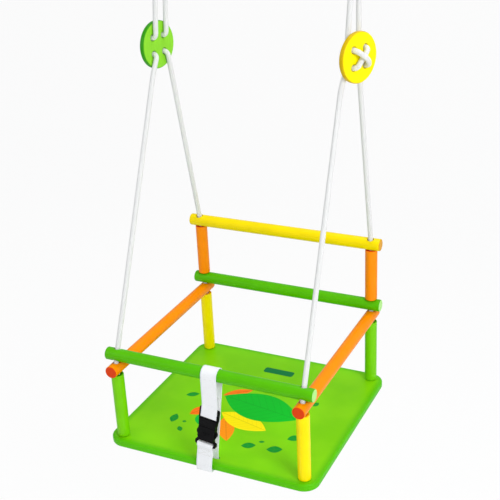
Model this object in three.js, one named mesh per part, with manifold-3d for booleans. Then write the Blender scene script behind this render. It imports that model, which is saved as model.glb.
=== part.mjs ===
// Toddler bucket swing: a painted plywood seat board with a frame of wooden posts and rails
// threaded on two ropes, a four-hole button on each rope, a webbing crotch strap with a
// side-release buckle, and a rope thimble on a steel ring at the top of each rope.
// Millimetres, +Z up, +Y towards the back rest, +X along the front rail. The origin is on the
// axis that the seat swings about, midway between the two hanging rings.
import * as THREE from 'three';
import { mergeVertices } from 'three/addons/utils/BufferGeometryUtils.js';
import Module from 'manifold-3d';

const wasm = await Module();
wasm.setup();

const GAP = 0.3; // between pieces that touch

// seat board
const BOARD_WIDTH = 337;
const BOARD_DEPTH = 320;
const BOARD_THICKNESS = 12;
const BOARD_CORNER = 24;
const BOARD_ROUNDING = 2.5;
const RECESS_R = 11.5; // for the stopper knots, in the underside
const RECESS_DEPTH = 7;

// dowels
const DOWEL_R = 9.5;
const DOWEL_CHAMFER = 1.2;
const LOWER_POST = 106.7;
const UPPER_POST = 85.5;
const CROSS_RAIL = 328;
const SIDE_RAIL = 318;
const STACK_X = 148; // rope lines left and right of the middle
const STACK_Y = 142.5; // rope lines in front of and behind the middle
const BORE_R = 4.75;
const SLIDING_BORE_R = 5.25; // front rail, which is lifted along its ropes

// rope, buttons and hanging gear
const ROPE_R = 3.75;
const BUTTON_R = 35;
const BUTTON_THICKNESS = 8;
const BUTTON_HOLE_R = 5;
const HOLE_OFFSET = 12; // hole rows from the button's middle
const BUTTON_BACK = 61.2; // button's middle behind the board's middle
const BUTTON_RISE = 549.5; // and above the board's top face
const STRAND_OFFSET = BUTTON_THICKNESS / 2 + ROPE_R + 1.1; // strands off the button's mid-plane
const TWIST = { left: 9.7, right: 21 }; // degrees that each button is turned forward
const PIVOT_RISE = 143; // swing axis above the buttons
const THIMBLE_DROP = 4.1; // thimble's middle below the swing axis
const BEND_R = 14; // rope round the thimble
const RING_R = 17;
const RING_WIRE_R = 3;

// the seat hangs front edge down, so that its weight is under the rings
const LEAN = THREE.MathUtils.degToRad(5.98);

// strap and buckle
const WEB_WIDTH = 25;
const WEB_THICKNESS = 1.6;
const STRAP_X = 8; // strap's middle on the front rail
const SLOT_X = 1.5; // and in the board
const SLOT_Y = -144.2;
const SLOT_WIDTH = 6;
const STRAP_PITCH = THREE.MathUtils.degToRad(7); // strap runs forward on its way down
const STRAP_SLANT = THREE.MathUtils.degToRad(-1.2); // and slightly to the right
const BUCKLE_SLANT = THREE.MathUtils.degToRad(8.4); // buckle hangs askew in the strap, to the left
const LOWER_SLANT = THREE.MathUtils.degToRad(3.2); // strap below it, back from the buckle's slant
const BUCKLE_BACK = 2.9; // buckle's mid-plane behind the strap

const v = (x, y, z) => new THREE.Vector3(x, y, z);

// the pivot seen from the board's frame, whose origin is the middle of its top face
const PIVOT_Y = BUTTON_BACK + PIVOT_RISE * Math.sin(LEAN);
const PIVOT_Z = BUTTON_RISE + PIVOT_RISE * Math.cos(LEAN);

// heights of the stacked rails
const SIDE_RAIL_Z = LOWER_POST + 2 * GAP + DOWEL_R;
const CROSS_RAIL_Z = SIDE_RAIL_Z + 2 * DOWEL_R + GAP;
const UPPER_POST_Z = CROSS_RAIL_Z + DOWEL_R + GAP;
const TOP_RAIL_Z = UPPER_POST_Z + UPPER_POST + GAP + DOWEL_R;

// where each rope turns from its stack towards its button, and the slope that it takes
const FRONT_TURN_Z = CROSS_RAIL_Z - DOWEL_R - GAP / 2;
const REAR_TURN_Z = TOP_RAIL_Z - DOWEL_R - GAP / 2;
const HOLE_LOW_Z = BUTTON_RISE - HOLE_OFFSET;
const FRONT_SLOPE = Math.atan2(
  BUTTON_BACK - HOLE_OFFSET + STACK_Y, HOLE_LOW_Z - FRONT_TURN_Z);
const REAR_SLOPE = Math.atan2(
  BUTTON_BACK + HOLE_OFFSET - STACK_Y, HOLE_LOW_Z - REAR_TURN_Z);
const FRONT_RAIL_Y = -STACK_Y + (CROSS_RAIL_Z - FRONT_TURN_Z) * Math.tan(FRONT_SLOPE);
const TOP_RAIL_Y = STACK_Y + (TOP_RAIL_Z - REAR_TURN_Z) * Math.tan(REAR_SLOPE);

// ---------- helpers ----------
function paint(color, roughness, metalness = 0) {
  return new THREE.MeshStandardMaterial({ color, roughness, metalness });
}

function piece(name, geometry, material, place = v(0, 0, 0)) {
  const mesh = new THREE.Mesh(geometry, material);
  mesh.name = name;
  mesh.position.copy(place);
  return mesh;
}

function toSolid(geometry) {
  const bare = geometry.clone();
  bare.deleteAttribute('normal');
  bare.deleteAttribute('uv');
  const merged = mergeVertices(bare, 1e-4);
  return new wasm.Manifold(new wasm.Mesh({
    numProp: 3,
    vertProperties: new Float32Array(merged.attributes.position.array),
    triVerts: new Uint32Array(merged.index.array),
  }));
}

function toGeometry(solid) {
  const mesh = solid.getMesh();
  const geometry = new THREE.BufferGeometry();
  geometry.setAttribute('position', new THREE.BufferAttribute(mesh.vertProperties, 3));
  geometry.setIndex(new THREE.BufferAttribute(mesh.triVerts, 1));
  geometry.computeVertexNormals();
  return geometry;
}

function cut(geometry, tools) {
  let solid = toSolid(geometry);
  for (const tool of tools) solid = solid.subtract(toSolid(tool));
  return toGeometry(solid);
}

function join(geometries) {
  let solid = toSolid(geometries[0]);
  for (const other of geometries.slice(1)) solid = solid.add(toSolid(other));
  return toGeometry(solid);
}

function box(x0, x1, y0, y1, z0, z1) {
  const geometry = new THREE.BoxGeometry(x1 - x0, y1 - y0, z1 - z0);
  return geometry.translate((x0 + x1) / 2, (y0 + y1) / 2, (z0 + z1) / 2);
}

// turned dowel along +Z, centred, with chamfered ends and an optional bore along it
function dowel(length, boreR = 0) {
  const half = length / 2;
  const outline = [
    [boreR, -half], [DOWEL_R - DOWEL_CHAMFER, -half], [DOWEL_R, -half + DOWEL_CHAMFER],
    [DOWEL_R, half - DOWEL_CHAMFER], [DOWEL_R - DOWEL_CHAMFER, half], [boreR, half],
  ];
  if (boreR > 0) outline.push([boreR, -half]);
  const geometry = new THREE.LatheGeometry(outline.map(([r, h]) => new THREE.Vector2(r, h)), 32);
  return geometry.rotateX(Math.PI / 2);
}

// cross bore at x, through the rail's middle, leaning back by the slope
function crossBore(x, slope, radius) {
  const drill = new THREE.CylinderGeometry(radius, radius, 4 * DOWEL_R, 24);
  return drill.rotateX(Math.PI / 2 - slope).translate(x, 0, 0);
}

// a route through stored points, sampled at those points only
class Route extends THREE.Curve {
  constructor(points) {
    super();
    this.points = points;
  }

  getPoint(t, target = v(0, 0, 0)) {
    const at = t * (this.points.length - 1);
    const i = Math.min(Math.floor(at), this.points.length - 2);
    return target.copy(this.points[i]).lerp(this.points[i + 1], at - i);
  }

  getPointAt(u, target) {
    return this.getPoint(u, target);
  }

  getTangentAt(u, target = v(0, 0, 0)) {
    const last = this.points.length - 1;
    const i = Math.round(u * last);
    const here = this.points[i];
    target.set(0, 0, 0);
    if (i > 0) target.add(here.clone().sub(this.points[i - 1]).normalize());
    if (i < last) target.add(this.points[i + 1].clone().sub(here).normalize());
    return target.normalize();
  }
}

// corners [point, cut] rounded off by a curve that starts and ends that far from the corner
function rounded(corners, samples = 5) {
  const points = [corners[0][0]];
  for (let i = 1; i < corners.length - 1; i += 1) {
    const [corner, back] = corners[i];
    if (!back) {
      points.push(corner);
      continue;
    }
    const before = points[points.length - 1].clone().sub(corner).setLength(back).add(corner);
    const after = corners[i + 1][0].clone().sub(corner).setLength(back).add(corner);
    const bend = new THREE.QuadraticBezierCurve3(before, corner, after);
    points.push(...bend.getPoints(samples));
  }
  points.push(corners[corners.length - 1][0]);
  return points;
}

function ropeTube(points) {
  const sides = 10;
  const section = [];
  for (let i = 0; i < sides; i += 1) {
    const angle = 2 * Math.PI * i / sides;
    section.push(new THREE.Vector2(ROPE_R * Math.cos(angle), ROPE_R * Math.sin(angle)));
  }
  return new THREE.ExtrudeGeometry(new THREE.Shape(section), {
    steps: points.length - 1, extrudePath: new Route(points), bevelEnabled: false,
  });
}

// webbing laid along points in the YZ plane, its width along X, centred on x = 0
function webbing(points, width = WEB_WIDTH) {
  const front = [];
  const back = [];
  points.forEach((here, i) => {
    const into = here.clone().sub(points[Math.max(i - 1, 0)]);
    const out = points[Math.min(i + 1, points.length - 1)].clone().sub(here);
    if (i === 0) into.copy(out);
    if (i === points.length - 1) out.copy(into);
    const along = into.normalize().clone().add(out.normalize()).normalize();
    const reach = WEB_THICKNESS / 2 / Math.max(along.dot(out), 0.7);
    front.push(new THREE.Vector2(here.y - along.z * reach, here.z + along.y * reach));
    back.push(new THREE.Vector2(here.y + along.z * reach, here.z - along.y * reach));
  });
  const geometry = new THREE.ExtrudeGeometry(new THREE.Shape([...front, ...back.reverse()]), {
    depth: width, bevelEnabled: false,
  });
  geometry.translate(0, 0, -width / 2);
  return geometry.applyMatrix4(
    new THREE.Matrix4().makeBasis(v(0, 1, 0), v(0, 0, 1), v(1, 0, 0)));
}

// webbing pulled aside along X and tilted, more and more from one height to another
function skewed(geometry, from, to, aside, tilt) {
  const at = geometry.attributes.position;
  for (let i = 0; i < at.count; i += 1) {
    const share = THREE.MathUtils.clamp((from - at.getZ(i)) / (from - to), 0, 1);
    at.setZ(i, at.getZ(i) + at.getX(i) * Math.tan(tilt) * share);
    at.setX(i, at.getX(i) + aside * share);
  }
  geometry.computeVertexNormals();
  return geometry;
}

// a plate whose outline lies in the XZ plane, centred on y = 0
function plate(outline, thickness) {
  const shape = new THREE.Shape(outline.map(([x, z]) => new THREE.Vector2(x, z)));
  const geometry = new THREE.ExtrudeGeometry(shape, { depth: thickness, bevelEnabled: false });
  return geometry.translate(0, 0, -thickness / 2).rotateX(Math.PI / 2);
}

function mirroredOutline(right) {
  return [...right, ...right.map(([x, z]) => [-x, z]).reverse()];
}

// ---------- materials ----------
const limeBoard = paint(0x83cf12, 0.38);
const greenPaint = paint(0x55b812, 0.35);
const yellowPaint = paint(0xffe600, 0.35);
const orangePaint = paint(0xff8a00, 0.35);
const greenButton = paint(0x62bd2a, 0.35);
const whiteRope = paint(0xf2f2f0, 0.7);
const whiteWeb = paint(0xf4f4f2, 0.8);
const blackPlastic = paint(0x141416, 0.42);
const steel = paint(0xb9bcc0, 0.3, 1);

const root = new THREE.Group();

// ---------- hanging rings, which stay with the hooks ----------
for (const [side, x] of [['left', -STACK_X], ['right', STACK_X]]) {
  const ring = new THREE.TorusGeometry(RING_R, RING_WIRE_R, 12, 36).rotateX(Math.PI / 2);
  root.add(piece(`ring_${side}`, ring, steel, v(x, 0, RING_R)));
}

// ---------- everything below swings ----------
// thimble: a grooved eye that keeps the rope off the ring's wire, hung upright
const groove = [];
for (let i = 0; i <= 8; i += 1) {
  const angle = Math.PI * i / 8;
  const clear = ROPE_R + GAP;
  groove.push([BEND_R - clear * Math.sin(angle), clear * Math.cos(angle)]);
}
const THIMBLE_HALF = 5.6;
const thimbleOutline = [
  [8.7, -THIMBLE_HALF], [7.7, -3], [7.4, 0], [7.7, 3], [8.7, THIMBLE_HALF],
  [BEND_R, THIMBLE_HALF], ...groove, [BEND_R, -THIMBLE_HALF], [8.7, -THIMBLE_HALF],
].map(([r, h]) => new THREE.Vector2(r, h)).reverse();
for (const [side, x] of [['left', -STACK_X], ['right', STACK_X]]) {
  const eye = new THREE.LatheGeometry(thimbleOutline, 28).rotateZ(Math.PI / 2);
  root.add(piece(`thimble_${side}`, eye, steel, v(x, 0, -THIMBLE_DROP)));
}

// the seat is modelled level, in the board's frame, and hung at its lean
const swing = new THREE.Group();
swing.rotation.x = LEAN;
root.add(swing);
const seat = new THREE.Group();
seat.position.set(0, -PIVOT_Y, -PIVOT_Z);
swing.add(seat);

// a point given upright about the pivot, in the board's frame
function fromPivot(x, y, z) {
  return v(x, y, z).applyAxisAngle(v(1, 0, 0), -LEAN).add(v(0, PIVOT_Y, PIVOT_Z));
}

// seat board: rounded corners and edges, a bore for each rope with a recess under it for the
// knot, and a slot for the strap
function roundedRectangle(width, depth, corner) {
  const shape = new THREE.Shape();
  const x = width / 2 - corner;
  const y = depth / 2 - corner;
  shape.absarc(x, y, corner, 0, Math.PI / 2);
  shape.absarc(-x, y, corner, Math.PI / 2, Math.PI);
  shape.absarc(-x, -y, corner, Math.PI, 1.5 * Math.PI);
  shape.absarc(x, -y, corner, 1.5 * Math.PI, 2 * Math.PI);
  shape.closePath();
  return shape;
}
const boardBlank = new THREE.ExtrudeGeometry(
  roundedRectangle(BOARD_WIDTH, BOARD_DEPTH, BOARD_CORNER), {
    depth: BOARD_THICKNESS - 2 * BOARD_ROUNDING,
    bevelSize: BOARD_ROUNDING, bevelOffset: -BOARD_ROUNDING, bevelThickness: BOARD_ROUNDING,
    bevelSegments: 2, curveSegments: 8,
  }).translate(0, 0, BOARD_ROUNDING - BOARD_THICKNESS);
const boardCuts = [];
for (const x of [-STACK_X, STACK_X]) {
  for (const y of [-STACK_Y, STACK_Y]) {
    const drill = new THREE.CylinderGeometry(BORE_R, BORE_R, 3 * BOARD_THICKNESS, 24);
    boardCuts.push(drill.rotateX(Math.PI / 2).translate(x, y, 0));
    const recess = new THREE.CylinderGeometry(RECESS_R, RECESS_R, 2 * RECESS_DEPTH, 28);
    boardCuts.push(recess.rotateX(Math.PI / 2).translate(x, y, -BOARD_THICKNESS));
  }
}
const slotHalf = WEB_WIDTH / 2 + 1.5;
boardCuts.push(box(
  SLOT_X - slotHalf, SLOT_X + slotHalf, SLOT_Y - SLOT_WIDTH / 2, SLOT_Y + SLOT_WIDTH / 2,
  -2 * BOARD_THICKNESS, BOARD_THICKNESS));
seat.add(piece('seat_board', cut(boardBlank, boardCuts), limeBoard));

// lower corner posts, bored end to end for the rope
for (const [name, x, y, material] of [
  ['post_front_left', -STACK_X, -STACK_Y, greenPaint],
  ['post_front_right', STACK_X, -STACK_Y, yellowPaint],
  ['post_back_left', -STACK_X, STACK_Y, yellowPaint],
  ['post_back_right', STACK_X, STACK_Y, greenPaint],
]) {
  seat.add(piece(name, dowel(LOWER_POST, BORE_R), material, v(x, y, GAP + LOWER_POST / 2)));
}

// side rails, front to back on the posts
const sideBlank = dowel(SIDE_RAIL).rotateX(Math.PI / 2);
const sideCuts = [-STACK_Y, STACK_Y].map((y) => {
  const drill = new THREE.CylinderGeometry(BORE_R, BORE_R, 4 * DOWEL_R, 24);
  return drill.rotateX(Math.PI / 2).translate(0, y, 0);
});
for (const [side, x] of [['left', -STACK_X], ['right', STACK_X]]) {
  seat.add(piece(`side_rail_${side}`, cut(sideBlank, sideCuts), orangePaint,
    v(x, 0, SIDE_RAIL_Z)));
}

// cross rails, each drilled along its rope's slope
function crossRail(slope, radius = BORE_R) {
  const blank = dowel(CROSS_RAIL).rotateY(Math.PI / 2);
  return cut(blank, [crossBore(-STACK_X, slope, radius), crossBore(STACK_X, slope, radius)]);
}
seat.add(piece('front_rail', crossRail(FRONT_SLOPE, SLIDING_BORE_R), greenPaint,
  v(0, FRONT_RAIL_Y, CROSS_RAIL_Z)));
seat.add(piece('rear_rail', crossRail(0), greenPaint, v(0, STACK_Y, CROSS_RAIL_Z)));
seat.add(piece('top_rail', crossRail(REAR_SLOPE), yellowPaint,
  v(0, TOP_RAIL_Y, TOP_RAIL_Z)));

// upper posts between the rear rail and the top rail
for (const [side, x] of [['left', -STACK_X], ['right', STACK_X]]) {
  seat.add(piece(`upper_post_${side}`, dowel(UPPER_POST, BORE_R), orangePaint,
    v(x, STACK_Y, UPPER_POST_Z + UPPER_POST / 2)));
}

// stopper knots, pulled up into the recesses and cut off short
const ROPE_END = RECESS_DEPTH - BOARD_THICKNESS - GAP;
const KNOT_TOP = ROPE_END - GAP;
const knotOutline = [
  [0, 0], [5.5, 0], [9, -2.5], [10, -5.5], [9.4, -9], [6.5, -11.6], [ROPE_R, -12.2],
  [ROPE_R, -13.4], [0, -13.4],
].map(([r, h]) => new THREE.Vector2(r, h)).reverse();
for (const [name, x, y] of [
  ['front_left', -STACK_X, -STACK_Y], ['front_right', STACK_X, -STACK_Y],
  ['back_left', -STACK_X, STACK_Y], ['back_right', STACK_X, STACK_Y],
]) {
  const knot = new THREE.LatheGeometry(knotOutline, 16).rotateX(Math.PI / 2);
  seat.add(piece(`knot_${name}`, knot, whiteRope, v(x, y, KNOT_TOP)));
}

// buttons and ropes, one of each per side
const discOutline = [
  [0, -4], [33, -4], [34.5, -3.2], [BUTTON_R, -1.8], [BUTTON_R, 1.8], [34.5, 3.2], [33, 4],
  [0, 4],
].map(([r, h]) => new THREE.Vector2(r, h));
const disc = new THREE.LatheGeometry(discOutline, 48).rotateZ(Math.PI / 2);
const discHoles = [];
for (const y of [-HOLE_OFFSET, HOLE_OFFSET]) {
  for (const z of [-HOLE_OFFSET, HOLE_OFFSET]) {
    const drill = new THREE.CylinderGeometry(
      BUTTON_HOLE_R, BUTTON_HOLE_R, 3 * BUTTON_THICKNESS, 20);
    discHoles.push(drill.rotateZ(Math.PI / 2).translate(0, y, z));
  }
}
const buttonGeometry = cut(disc, discHoles);
for (const [side, sign, material] of [['left', -1, greenButton], ['right', 1, yellowPaint]]) {
  const turn = -THREE.MathUtils.degToRad(TWIST[side]);
  const outward = v(sign, 0, 0).applyAxisAngle(v(0, 0, 1), turn);
  const rearward = v(0, 1, 0).applyAxisAngle(v(0, 0, 1), turn);
  const middle = v(sign * STACK_X, BUTTON_BACK, BUTTON_RISE)
    .addScaledVector(outward, STRAND_OFFSET);
  const button = piece(`button_${side}`, buttonGeometry.clone(), material, middle);
  button.rotation.z = turn;
  seat.add(button);

  const onButton = (back, up, out) => middle.clone()
    .addScaledVector(rearward, back).add(v(0, 0, up)).addScaledVector(outward, out);
  const h = HOLE_OFFSET;
  const out = STRAND_OFFSET;
  const over = out + 2 * ROPE_R + 2.1; // the rear strand crosses over the front one
  const bend = 7.5;
  const below = 27; // the front strand lies along the button from this far below its hole
  const arc = [];
  for (let i = 0; i <= 10; i += 1) {
    const angle = Math.PI * i / 10;
    arc.push([fromPivot(
      sign * STACK_X, BEND_R * Math.cos(angle), -THIMBLE_DROP + BEND_R * Math.sin(angle)), 0]);
  }
  const route = rounded([
    [v(sign * STACK_X, -STACK_Y, ROPE_END), 0],
    [v(sign * STACK_X, -STACK_Y, FRONT_TURN_Z), 6],
    [onButton(-h - below * Math.tan(FRONT_SLOPE), -h - below, -out), 13],
    [onButton(-h, -h, -out), bend], [onButton(-h, -h, out), bend],
    [onButton(h, h, out), bend], [onButton(h, h, -out), bend],
    [fromPivot(sign * STACK_X, BEND_R, -3 * BEND_R), 6],
    ...arc,
    [fromPivot(sign * STACK_X, -BEND_R, -3 * BEND_R), 6],
    [onButton(-h, h, -out), bend], [onButton(-h, h, out), bend],
    [onButton(0, 0, over), 8],
    [onButton(h, -h, out), bend], [onButton(h, -h, -out), bend],
    [v(sign * STACK_X, STACK_Y, REAR_TURN_Z), 6],
    [v(sign * STACK_X, STACK_Y, ROPE_END), 0],
  ]);
  seat.add(piece(`rope_${side}`, ropeTube(route), whiteRope));
}

// ---------- strap ----------
// the strap comes up from its slot to the back of the front rail, over it and down in front
const wrapR = DOWEL_R + GAP + WEB_THICKNESS / 2;
const railMiddle = v(0, FRONT_RAIL_Y, CROSS_RAIL_Z);
const slotTop = v(0, SLOT_Y, 8);
const toRail = railMiddle.clone().sub(slotTop);
const rearPitch = Math.atan2(toRail.y, toRail.z) + Math.asin(wrapR / toRail.length());
const onWrap = (angle) => railMiddle.clone()
  .add(v(0, wrapR * Math.cos(angle), wrapR * Math.sin(angle)));
const wrapEnd = Math.PI - STRAP_PITCH;
const rearTop = onWrap(-rearPitch);
const frontTop = onWrap(wrapEnd);
const STUB = 4;
const wrap = [rearTop.clone().sub(v(0, Math.sin(rearPitch), Math.cos(rearPitch))
  .multiplyScalar(STUB))];
for (let i = 0; i <= 12; i += 1) wrap.push(onWrap(-rearPitch + (wrapEnd + rearPitch) * i / 12));
wrap.push(frontTop.clone().sub(v(0, Math.sin(STRAP_PITCH), Math.cos(STRAP_PITCH))
  .multiplyScalar(STUB)));
seat.add(piece('strap_wrap', webbing(wrap), whiteWeb, v(STRAP_X, 0, 0)));

const rearRun = v(0, Math.sin(rearPitch), Math.cos(rearPitch));
const rearEnd = rearTop.clone().addScaledVector(rearRun, -STUB - GAP);
seat.add(piece('strap_rear', skewed(
  webbing([slotTop, rearEnd]), slotTop.z, rearEnd.z, STRAP_X - SLOT_X, 0), whiteWeb,
  v(SLOT_X, 0, 0)));

// the front line: strap, buckle and strap again, in a frame of its own that runs down from
// the rail and forward
const line = new THREE.Group();
line.position.copy(frontTop).add(v(STRAP_X, 0, 0));
line.rotation.set(-STRAP_PITCH, STRAP_SLANT, 0, 'YXZ');
seat.add(line);

// heights in the front line's frame
const FRAME_TOP = -49;
const MID_BAR = -59.5;
const BAR = 3;
const ADJUST_Z = -55;
const BASE_TOP = -65.5;
const PARTING = -78;
const FEMALE_END = -109.5;
const LINE_END = -141.5;
const LAYER = 1.8 + GAP + WEB_THICKNESS / 2; // strap off the adjuster's mid-plane

// its lower end is drawn over and tilted by the askew buckle
const frontFrom = -STUB - 1.2;
const frontTo = FRAME_TOP + 6;
line.add(piece('strap_front', skewed(
  webbing([v(0, 0, frontFrom), v(0, 0, frontTo)]), frontFrom, frontTo,
  (frontTo - ADJUST_Z) * Math.sin(BUCKLE_SLANT), -BUCKLE_SLANT), whiteWeb));

const buckle = new THREE.Group();
buckle.position.set(0, BUCKLE_BACK, ADJUST_Z);
buckle.rotation.y = BUCKLE_SLANT;
buckle.translateZ(-ADJUST_Z);
line.add(buckle);

// strap end through the adjuster: down in front, under the bar and up behind
const barUnder = MID_BAR - BAR - GAP - WEB_THICKNESS / 2;
buckle.add(piece('strap_adjuster', webbing(rounded([
  [v(0, -LAYER, FRAME_TOP + 5.7), 0], [v(0, -LAYER, barUnder), 1.4],
  [v(0, LAYER, barUnder), 1.4], [v(0, LAYER, FRAME_TOP + 18), 0],
], 4)), whiteWeb));

// male half: adjuster frame with two slots, base and guide tongue
const slotX = 13.2;
const maleFrame = cut(
  plate(mirroredOutline([
    [14.5, FRAME_TOP], [15.8, FRAME_TOP - 1.5], [15.8, BASE_TOP], [13, PARTING],
  ]), 3.6),
  [
    box(-slotX, slotX, -5, 5, MID_BAR, FRAME_TOP - BAR),
    box(-slotX, slotX, -5, 5, BASE_TOP, MID_BAR - BAR),
  ]);
const male = join([
  maleFrame,
  plate(mirroredOutline([[13.6, BASE_TOP], [13, PARTING]]), 9.5),
  box(-3, 3, -2, 2, PARTING - 15, PARTING + 2),
]);
buckle.add(piece('buckle_male', male, blackPlastic));

// female half: open socket, side windows, waist, and winged strap bar
const femaleBlank = plate(mirroredOutline([
  [13, PARTING - GAP], [13.4, PARTING - 5], [13.4, -95], [11.6, -98.5], [12.6, -101],
  [16, -102.5], [16.4, -107.5], [14.5, FEMALE_END],
]), 9.5);
const female = cut(femaleBlank, [
  box(-11, 11, -2.8, 2.8, -95.5, PARTING + 1),
  box(-20, 20, -2.8, 2.8, -95, -83),
  box(-13.2, 13.2, -6, 6, -106.5, -101.8),
  box(-20, 20, 2.6, 6, -112, -100.5),
  box(-20, 20, -6, -2.6, -112, -100.5),
]);
buckle.add(piece('buckle_female', female, blackPlastic));

// two spring prongs, whose pads stand in the windows
const prong = [
  [6.2, -78.3], [9.2, -78.3], [10.2, -83.4], [14.6, -84.4], [15.8, -86.5], [15.8, -90.5],
  [12.2, -94.6], [9.6, -94.6], [7.6, -88],
];
buckle.add(piece('prong_right', plate(prong, 5), blackPlastic));
buckle.add(piece('prong_left', plate(prong.map(([x, z]) => [-x, z]).reverse(), 5),
  blackPlastic));

// strap from the buckle's lower bar: a sewn loop, then down in front of the board's edge
const loopY = 2.6 + GAP + WEB_THICKNESS / 2;
const sewn = WEB_THICKNESS / 2 + 0.15;
const LOWER_FROM = -112;
const lowerAside = (LOWER_FROM - LINE_END) * Math.tan(LOWER_SLANT);
buckle.add(piece('strap_lower', skewed(webbing(rounded([
  [v(0, sewn, -126), 0], [v(0, sewn, -114.5), 2], [v(0, loopY, -110.5), 2],
  [v(0, loopY, -105.35), 1.4], [v(0, -loopY, -105.35), 1.4], [v(0, -loopY, -110.5), 2],
  [v(0, -sewn, -114.5), 2], [v(0, -sewn, LINE_END), 0],
], 3)), LOWER_FROM, LINE_END, lowerAside, BUCKLE_SLANT + STRAP_SLANT), whiteWeb));

// strap under the board: round its front edge, back and up through the slot
line.updateMatrix();
buckle.updateMatrix();
const lowerEnd = v(lowerAside, -sewn, LINE_END)
  .applyMatrix4(buckle.matrix).applyMatrix4(line.matrix);
const underZ = -BOARD_THICKNESS - GAP - WEB_THICKNESS / 2;
const under = webbing(rounded([
  [v(0, lowerEnd.y - 0.1, lowerEnd.z - 1.4), 0], [v(0, lowerEnd.y - 0.4, underZ), 3],
  [v(0, SLOT_Y, underZ), 3], [v(0, SLOT_Y, slotTop.z - GAP), 0],
], 4));
// its front end lies to the left of the slot, so the run under the board is skewed
const skew = under.attributes.position;
for (let i = 0; i < skew.count; i += 1) {
  const along = (skew.getY(i) - lowerEnd.y - 2) / (SLOT_Y - lowerEnd.y - 4);
  const share = THREE.MathUtils.clamp(along, 0, 1);
  skew.setX(i, skew.getX(i) + THREE.MathUtils.lerp(lowerEnd.x, SLOT_X, share));
}
under.computeVertexNormals();
seat.add(piece('strap_under', under, whiteWeb));

export default root;
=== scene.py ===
import math

import bmesh
import bpy
from mathutils import Matrix, Vector


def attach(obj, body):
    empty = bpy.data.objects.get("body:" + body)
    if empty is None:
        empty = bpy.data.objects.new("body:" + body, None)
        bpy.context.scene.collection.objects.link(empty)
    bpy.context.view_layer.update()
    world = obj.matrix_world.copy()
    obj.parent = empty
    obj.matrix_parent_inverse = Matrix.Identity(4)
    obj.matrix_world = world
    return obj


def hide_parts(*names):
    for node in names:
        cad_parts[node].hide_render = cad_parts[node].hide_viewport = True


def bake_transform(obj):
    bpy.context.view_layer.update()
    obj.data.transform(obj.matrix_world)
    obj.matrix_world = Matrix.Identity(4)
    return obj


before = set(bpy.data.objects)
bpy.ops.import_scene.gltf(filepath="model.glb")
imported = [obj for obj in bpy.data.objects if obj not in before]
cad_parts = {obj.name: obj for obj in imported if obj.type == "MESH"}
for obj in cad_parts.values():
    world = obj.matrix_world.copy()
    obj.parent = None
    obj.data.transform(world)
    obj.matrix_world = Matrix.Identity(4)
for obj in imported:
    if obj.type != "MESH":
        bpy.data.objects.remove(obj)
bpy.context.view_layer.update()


# ---------------------------------------------------------------- camera
# Stands in front and to the right of the seat, level with the hanging rings, looking down.
camera_data = bpy.data.cameras.new("camera")
camera_data.lens = 71.93
camera_data.sensor_width = 36
camera_data.clip_end = 30
camera = bpy.data.objects.new("camera", camera_data)
bpy.context.scene.collection.objects.link(camera)
camera.location = (0.6003, -1.2863, 0.0389)
azimuth, elevation = math.radians(25.2), math.radians(18.6)
back = Vector((
    math.sin(azimuth) * math.cos(elevation),
    -math.cos(azimuth) * math.cos(elevation),
    math.sin(elevation),
))
camera.rotation_mode = "QUATERNION"
camera.rotation_quaternion = (-back).to_track_quat("-Z", "Y")
bpy.context.scene.camera = camera


# ---------------------------------------------------------------- ropes
# Smooth braided polyester, 7.5 mm, one length per side: up through the front stack, through
# the button's holes with a cross on its outer face, over the thimble and down the back stack.
# A stopper knot in a recess under the board ends each stack.
mm = 0.001
lean = math.radians(5.98)  # the seat hangs front edge down
stack_x, stack_y = 148, 142.5
button_y, button_z = 61.2, 549.5  # button's middle in the board's frame
rise = 143  # swing axis above the buttons
rope_r = 3.75
board_t = 12
rope_end = -5.3  # in the recess under the board
front_turn_z, rear_turn_z = 126.45, 231.55
hang = (
    Matrix.Rotation(lean, 4, "X")
    @ Matrix.Translation((
        0, -button_y - rise * math.sin(lean), -button_z - rise * math.cos(lean)))
)
to_board = hang.inverted()


def rgb(red, green, blue):
    """A colour from its 0 to 255 values, as a shader takes it."""
    parts = (c / 255 for c in (red, green, blue))
    return (*(((c + 0.055) / 1.055) ** 2.4 if c > 0.04 else c / 12.92 for c in parts), 1)


def hang_mesh(bm):
    """Takes a mesh from the board's frame, in mm, to where it hangs, in metres."""
    bmesh.ops.transform(bm, matrix=Matrix.Scale(mm, 4) @ hang, verts=bm.verts)


def smooth_object(name, bm, angle=40, flat_from=60e-6):
    """Makes the object at the origin, smooth except at hard edges and on large flat faces."""
    bmesh.ops.recalc_face_normals(bm, faces=bm.faces)
    for face in bm.faces:
        face.smooth = face.calc_area() < flat_from
    limit = math.radians(angle)
    for edge in bm.edges:
        if len(edge.link_faces) == 2 and edge.calc_face_angle(0) > limit:
            edge.smooth = False
    mesh = bpy.data.meshes.new(name)
    bm.to_mesh(mesh)
    bm.free()
    made = bpy.data.objects.new(name, mesh)
    bpy.context.scene.collection.objects.link(made)
    return made


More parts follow.
